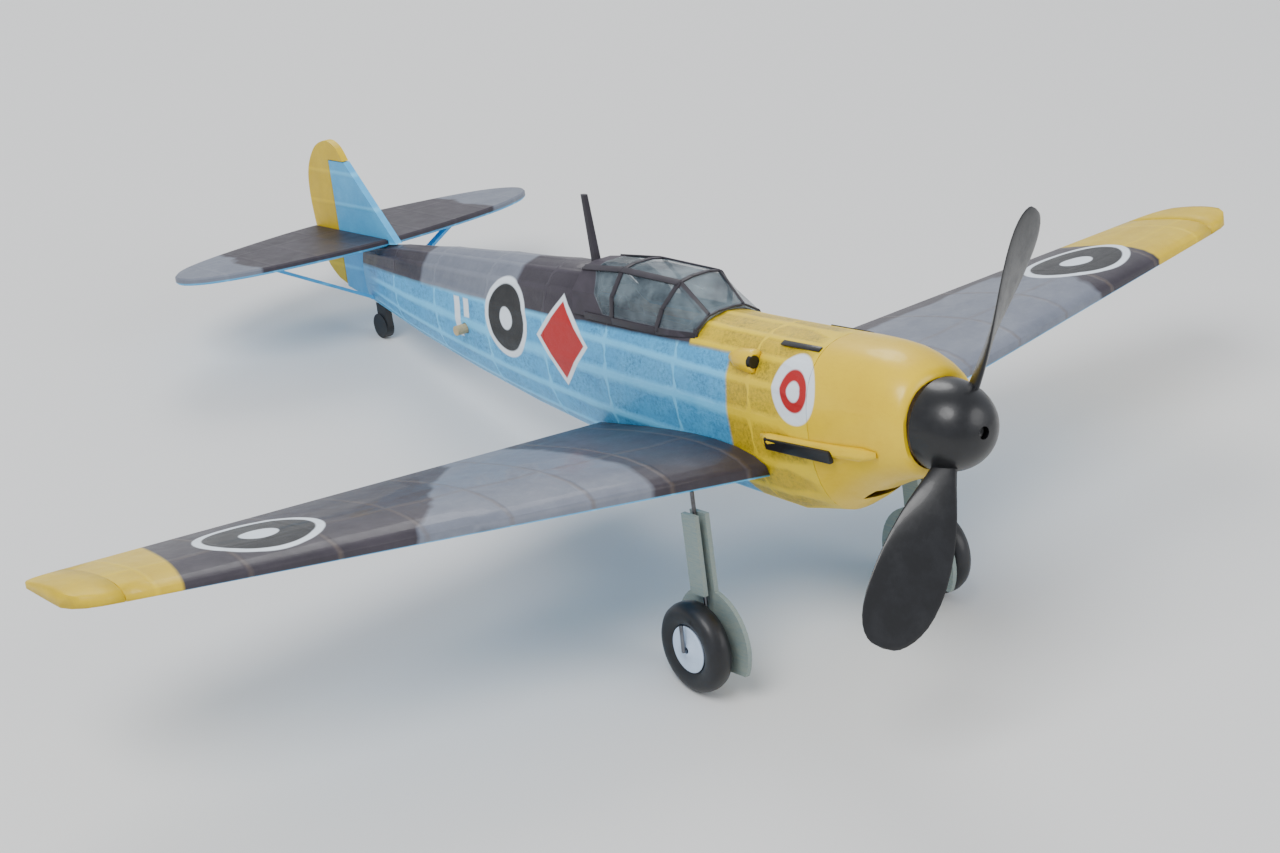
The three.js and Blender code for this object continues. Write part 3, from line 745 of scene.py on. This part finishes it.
# %% [markdown]
# Shrunk tissue is stretched between its sticks like a drum skin, so it dips a little inside each cell
# of the frame. A normal map could hint at that, but the dips show in the shine and at the edges of the
# body, so here the surface really moves. The covering is copied and cut at each former, just beside
# it and halfway between, and its points are let down by how far they lie from the nearest stick. The
# same measure stays on the points, so that the paler glued lines fall exactly on the ridges. The grid
# that shows is closer than the few sticks that the working model carries inside.

# %% Tissue that dips between its sticks
SQUARENESS = 0.86
STATIONS = [  # x, top, bottom, half width, height of the widest point
    (-34, 19, -29.4, 17.2, -2), (-50, 18.7, -32.6, 17.2, -3), (-74, 18.5, -31.8, 16.8, -3),
    (-88, 18.6, -31.2, 16.5, -2.5), (-115, 20, -30, 16, -2), (-140, 20, -27.9, 15.3, -1.5),
    (-147, 25.8, -27.2, 14.9, -1), (-180, 24, -23, 13.5, 0), (-215, 22, -17.5, 11.3, 2),
    (-250, 19.5, -11, 8, 4), (-284, 16, -3.8, 3, 6),
]
FORMERS = [-34.2, -59, -93, -127, -160, -194, -228, -258, -284]
LINE_HALF = 1.3  # half the width of a former's glued line
STICK_STEP = 22.5  # degrees from one stringer to the next
DIP = 0.42
ON_SKIN = 0.98


def station_at(x):
    """Top, bottom, half width and widest height of the fuselage at x."""
    x = min(max(x, STATIONS[-1][0]), STATIONS[0][0])
    front, rear = next((a, b) for a, b in zip(STATIONS, STATIONS[1:]) if b[0] <= x)
    share = (front[0] - x) / (front[0] - rear[0])
    return [a + (b - a) * share for a, b in zip(front[1:], rear[1:])]


def round_the_section(point):
    """How far out a point lies, 1 on the skin, and its angle round the section in degrees."""
    top, bottom, half, widest = station_at(point.x)
    tall = top - widest if point.z > widest else widest - bottom
    across = (abs(point.y) / half) ** (1 / SQUARENESS)
    up = (abs(point.z - widest) / tall) ** (1 / SQUARENESS)
    return math.hypot(across, up), math.degrees(math.atan2(up, across)), widest


def nearness(value, step):
    """1 on a multiple of step, 0 halfway between two."""
    share = value / step
    return 1 - 2 * abs(share - round(share))


def from_former(x):
    """0 at a former and 1 in the middle of the bay."""
    rear, front = next((b, a) for a, b in zip(FORMERS, FORMERS[1:]) if b <= max(x, FORMERS[-1]))
    share = (x - rear) / (front - rear)
    return min(max(4 * share * (1 - share), 0), 1)


def level_copy(node):
    shape = bmesh.new()
    shape.from_mesh(nodes[node].data)
    bmesh.ops.transform(shape, matrix=STANCE.inverted(), verts=shape.verts)
    bmesh.ops.remove_doubles(shape, verts=shape.verts, dist=0.004)
    return shape


def cut_across(shape, place, direction):
    everything = list(shape.verts) + list(shape.edges) + list(shape.faces)
    bmesh.ops.bisect_plane(shape, geom=everything, dist=0.002, plane_co=place, plane_no=direction)


covering = level_copy("fuselage_covering")
cuts = [x + shift for x in FORMERS[1:-1] for shift in (-LINE_HALF, 0, LINE_HALF)]
cuts += [(a + b) / 2 for a, b in zip(FORMERS, FORMERS[1:])]
for x in cuts:
    cut_across(covering, (x, 0, 0), (1, 0, 0))
line_values = covering.verts.layers.float.new("frame_line")
for vert in covering.verts:
    reach, angle, widest = round_the_section(vert.co)
    on_former = any(abs(vert.co.x - x) < 0.3 for x in FORMERS)
    vert[line_values] = 1.0 if on_former else nearness(angle, STICK_STEP)
    if reach > ON_SKIN and not on_former:
        inwards = Vector((0, -vert.co.y, widest - vert.co.z)).normalized()
        vert.co += inwards * DIP * (1 - nearness(angle, STICK_STEP)) * from_former(vert.co.x)
add_piece("dipped_covering", covering, "airframe", FUSELAGE, ["fuselage_covering"])

# %% [markdown]
# The nose moulding, its scoop and blisters, and the carved wing tips keep their shapes, but their flat
# facets would show. A finer working model would cure that at a cost to everything else that uses it.
# Each becomes a copy with its doubled points merged instead, so that it is shaded as one skin.

# %% Smooth copies of the moulded and carved parts
SMOOTH_PARTS = {
    "cowling": ("pressed_nose", NOSE_YELLOW, "yellow_plastic"),
    "intake_scoop": ("pressed_scoop", NOSE_YELLOW, "yellow_plastic"),
    "left_exhaust": ("left_blister", NOSE_YELLOW, "yellow_plastic"),
    "right_exhaust": ("right_blister", NOSE_YELLOW, "yellow_plastic"),
    "left_wing_tip": ("left_carved_tip", TIPS, "yellow_tissue"),
    "right_wing_tip": ("right_carved_tip", TIPS, "yellow_tissue"),
}
for node_name, (piece_name, material, slot) in SMOOTH_PARTS.items():
    add_piece(piece_name, level_copy(node_name), "airframe", material, [node_name])

# %% [markdown]
# The wing's paper dips between its ribs as the fuselage's does between its formers, and is made in the
# same way. Only the upper skin is let down, because it is the one that is seen, and the front and rear
# edges, which are solid wood, stay where they are.

# %% Wing panels that dip between their ribs
WING_FRONT, FRONT_SWEEP = -52.2, -0.146
WING_REAR, REAR_SWEEP = -139, 0.115
FRONT_WOOD, REAR_WOOD = 0.03, 0.9  # shares of the chord where the paper hangs free
DIP_SCALE = 4 / 0.76  # brings the deepest point of the dip to 1
WING_DIP = 0.38
CUTS = 16


def across_chord(x, span):
    """0 at the wooden edges of the wing and 1 in the middle of the free paper."""
    front = WING_FRONT + span * FRONT_SWEEP
    rear = WING_REAR + span * REAR_SWEEP
    share = (front - x) / (front - rear)
    return min(max(DIP_SCALE * (share - FRONT_WOOD) * (REAR_WOOD - share), 0), 1)


for label, side in (("left", 1), ("right", -1)):
    wing_shape = level_copy(label + "_wing_covering")
    for index in range(CUTS):
        cut_across(wing_shape, (0, side * (RIB_START + index * RIB_STEP / 2), 0), (0, 1, 0))
    bmesh.ops.recalc_face_normals(wing_shape, faces=wing_shape.faces)
    wing_shape.normal_update()
    for vert in wing_shape.verts:
        span = abs(vert.co.y)
        if vert.normal.z > 0.6:
            between_ribs = 1 - nearness(span - RIB_START, RIB_STEP)
            vert.co.z -= WING_DIP * across_chord(vert.co.x, span) * between_ribs
    slot = "camouflage_tissue"
    add_piece(label + "_dipped_wing", wing_shape, "airframe", WINGS, [label + "_wing_covering"])

# %% [markdown]
# The canopy's frames are painted bars on the clear sheet: hoops across it, rails along it and sloping
# bars on the windscreen. They could be painted in the finish, but raised bars catch the light. Each is
# a cube stretched between two points on the sheet, with its edges softened by a bevel.


# %% Bars laid between two points
def add_bar(shape, start, end, width, height, up):
    """A thin block from start to end that faces up."""
    start, end = Vector(start), Vector(end)
    along = (end - start).normalized()
    side = along.cross(up).normalized()
    raised = side.cross(along)
    turn = Matrix((along, side, raised)).transposed().to_4x4()
    size = Matrix.Diagonal(((end - start).length, width, height, 1))
    block = bmesh.ops.create_cube(shape, size=1.0)["verts"]
    place = Matrix.Translation((start + end) / 2) @ turn @ size
    bmesh.ops.transform(shape, matrix=place, verts=block)
    soften = {"offset": min(width, height) * 0.3, "affect": "EDGES", "segments": 2, "profile": 0.5}
    bmesh.ops.bevel(shape, geom=edges_of(block), material=-1, **soften)


def hoop(stations, sill, waist, shoulder, roof):
    """Points over the canopy, from the port sill to the starboard one, each at its own station."""
    half = [Vector((x, *level)) for x, level in zip(stations, (sill, waist, shoulder, roof))]
    return half + [Vector((point.x, -point.y, point.z)) for point in reversed(half)]


HOOPS = [
    hoop((-86.4, -86.4, -86.4, -86.4), (11.6, 13.9), (11.2, 16.0), (6.6, 18.8), (3.0, 19.3)),
    hoop((-102.6, -99.4, -96.8, -96.6), (13.4, 13.9), (12.4, 20.4), (7.4, 27.2), (3.0, 28.1)),
    hoop((-123.6,) * 4, (13.4, 13.9), (12.4, 20.8), (7.4, 27.8), (3.0, 28.65)),
    hoop((-137.5, -134.5, -143.6, -143.6), (13.2, 13.9), (12.3, 20.6), (7.2, 26.2), (3.0, 27.2)),
]
RAIL_LEVELS = (0, 2, 5, 7)
HOOP_WIDE, RAIL_WIDE, BAR_THICK = 1.9, 2.1, 0.55
SILL_Z = 14


def bar_up(start, end):
    """Points away from the canopy's middle line, so that a bar lies flat on the sheet."""
    middle = (start + end) / 2
    return Vector((0, middle.y, middle.z - SILL_Z)).normalized()


frames = bmesh.new()
for points in HOOPS[:3]:
    for start, end in zip(points, points[1:]):
        add_bar(frames, start, end, HOOP_WIDE, BAR_THICK, bar_up(start, end))
for front, rear in zip(HOOPS, HOOPS[1:]):
    for rail in RAIL_LEVELS:
        start, end = front[rail], rear[rail]
        add_bar(frames, start, end, RAIL_WIDE, BAR_THICK, bar_up(start, end))
add_piece("canopy_frames", frames, "airframe", FRAME_PAINT)

# %% [markdown]
# The nose has a few scale details: two black gun troughs on top, a black band of exhaust stubs under
# each blister, and a black disc in the mouth of the intake scoop, which is painted shade standing in
# for the dark hollow inside it. On the model the troughs and stubs are thin black strips stuck to the
# nose. They could be painted too, but an applied strip has an edge that catches the light.

# %% Nose details
TROUGH_REAR, TROUGH_FRONT = (-51, 9, 16.7), (-35.2, 9, 16.95)
TROUGH_WIDE, TROUGH_THICK, TROUGH_FACES = 1.8, 0.5, (0, 0.45, 0.89)
STUBS_REAR, STUBS_FRONT, STUBS_OUT = (-51.5, -9.1), (-24.5, -8.5), 0.9
STUBS_TALL, STUBS_THICK, STUBS_FACE = 3.6, 1.6, (0, 1, -0.12)
MOUTH_PLACE = (-56.9, -15.2, 12.0)


def on_side(point, side):
    """A point given for the port side, on either side."""
    return Vector((point[0], side * point[1], point[2]))


def off_skin(x, z):
    """A point just outside the widest part of the nose, on the port side."""
    return (x, station_at(x)[2] + STUBS_OUT, z)


troughs = bmesh.new()
stubs = bmesh.new()
for side in (1, -1):
    rear, front = on_side(TROUGH_REAR, side), on_side(TROUGH_FRONT, side)
    add_bar(troughs, rear, front, TROUGH_WIDE, TROUGH_THICK, on_side(TROUGH_FACES, side))
    rear, front = on_side(off_skin(*STUBS_REAR), side), on_side(off_skin(*STUBS_FRONT), side)
    add_bar(stubs, rear, front, STUBS_TALL, STUBS_THICK, on_side(STUBS_FACE, side))
add_piece("gun_troughs", troughs, "airframe", BLACK)
add_piece("exhaust_strips", stubs, "airframe", BLACK)

# A black disc in the scoop's mouth is painted shade: it stands in for the dark hollow inside the intake.
mouth = bmesh.new()
mouth_size = {"radius1": 2.0, "radius2": 1.8, "depth": 1.2}
shade_disc_verts = bmesh.ops.create_cone(mouth, cap_ends=True, segments=28, **mouth_size)["verts"]
mouth_turn = Matrix.Translation(MOUTH_PLACE) @ Matrix.Rotation(math.pi / 2, 4, "Y")
bmesh.ops.transform(mouth, matrix=mouth_turn, verts=shade_disc_verts)
add_piece("intake_shade_disc", mouth, "airframe", BLACK)

# %% [markdown]
# The elastic motor is a loop of flat rubber that is wound into a rope. A curve with a bevel could
# follow each strand, but it would not keep the rubber's flat side turned to the middle, so rings are
# placed along both strands and bridged. The front end turns with the propeller and the rear end stays
# on the peg. Here the piece stays where it is made and is not attached to either body.

# %% The elastic motor
HOOK_X, PEG_X = -29.6, -206.0
TWISTS, RING_STEPS = 5.0, 80
STRAND_THICK, STRAND_WIDE = 0.55, 1.3


def strand_place(share, phase):
    """Where a strand's section stands, at a share of the way from the hook to the peg."""
    spread = 1.3 + 0.5 * abs(2 * share - 1) ** 6
    angle = phase + share * TWISTS * 2 * math.pi
    sag = 0.5 * share
    centre = Vector((0, spread * math.cos(angle), spread * math.sin(angle) - sag))
    centre.x = HOOK_X + (PEG_X - HOOK_X) * share
    turn = Matrix.Rotation(angle, 4, "X") @ Matrix.Rotation(math.pi / 2, 4, "Y")
    return Matrix.Translation(centre) @ turn @ Matrix.Diagonal((STRAND_THICK, STRAND_WIDE, 1, 1))


motor = bmesh.new()
for phase in (0.0, math.pi):
    rings = []
    for step in range(RING_STEPS + 1):
        ring = bmesh.ops.create_circle(motor, cap_ends=False, segments=8, radius=1.0)["verts"]
        bmesh.ops.transform(motor, matrix=strand_place(step / RING_STEPS, phase), verts=ring)
        rings.append(edges_of(ring))
    for first, second in zip(rings, rings[1:]):
        bmesh.ops.bridge_loops(motor, edges=first + second)
    bmesh.ops.holes_fill(motor, edges=rings[0] + rings[-1], sides=12)
twisted = stand_on_wheels("twisted_motor", motor, RUBBER, sharp_degrees=180)
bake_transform(twisted)
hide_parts("motor_front", "motor_rear")

# %% [markdown]
# The aeroplane stands in a plain studio. Hard lamps would draw sharp shadows and small hot spots, so
# there are three large soft ones: the strongest on the camera's left, a weaker one on its right and
# one behind, in a bright, even surround. The pale floor runs out of sight.


# %% Floor, lights and surround
def floor_finish():
    material = bpy.data.materials.new("pale_studio_floor")
    material.use_nodes = True
    tree = material.node_tree
    here = Signal(tree.nodes.new("ShaderNodeTexCoord").outputs["Object"])
    cloud = here.noise(1.5, 2.0) * 0.04 + 0.5
    skin = cloud.mix(paint(214, 214, 212), paint(226, 226, 224))
    connect(tree.nodes["Principled BSDF"], Base_Color=skin, Roughness=0.8)
    return material


ground = bmesh.new()
bmesh.ops.create_grid(ground, x_segments=4, y_segments=4, size=8.0)
ground_mesh = bpy.data.meshes.new("studio_floor")
ground.to_mesh(ground_mesh)
ground.free()
ground_mesh.materials.append(floor_finish())
floor = place_in_scene("studio_floor", ground_mesh)


def soft_light(name, place, size, watts):
    lamp = bpy.data.lights.new(name, "AREA")
    lamp.shape = "DISK"
    lamp.size = size
    lamp.energy = watts
    made = place_in_scene(name, lamp)
    made.location = place
    made.rotation_mode = "QUATERNION"
    made.rotation_quaternion = (Vector((0, 0, 0.05)) - Vector(place)).to_track_quat("-Z", "Y")


soft_light("key_light", (0.3, -0.9, 1.4), 0.9, 19)
soft_light("fill_light", (1.2, 0.7, 0.8), 1.0, 7)
soft_light("back_light", (-1.1, 0.6, 1.2), 0.8, 10)
world = bpy.data.worlds.new("studio_surround")
world.use_nodes = True
world.node_tree.nodes["Background"].inputs["Color"].default_value = (0.9, 0.93, 1.0, 1)
world.node_tree.nodes["Background"].inputs["Strength"].default_value = 0.8
bpy.context.scene.world = world
print("studio lit")

# %% [markdown]
# The camera looks down on the starboard bow. A short lens would let it stand closer, but it would
# swell the near wing, so the lens is long.

# %% Camera
AZIMUTH, ELEVATION, ROLL = (math.radians(angle) for angle in (51.81, 28.5, 1.89))
lens_data = bpy.data.cameras.new("studio_camera")
lens_data.lens = 72.4
lens_data.sensor_width = 36.0
lens_data.clip_start, lens_data.clip_end = 0.01, 50
camera = place_in_scene("studio_camera", lens_data)
camera.location = (0.5550, -0.4196, 0.3978)
level_look = Vector((-math.sin(AZIMUTH), math.cos(AZIMUTH), 0))
look = level_look * math.cos(ELEVATION) - Vector((0, 0, math.sin(ELEVATION)))
camera.rotation_mode = "QUATERNION"
lean = Matrix.Rotation(-ROLL, 3, look).to_quaternion()
camera.rotation_quaternion = lean @ look.to_track_quat("-Z", "Y")
bpy.context.scene.camera = camera
print("camera", [round(v, 3) for v in camera.location])
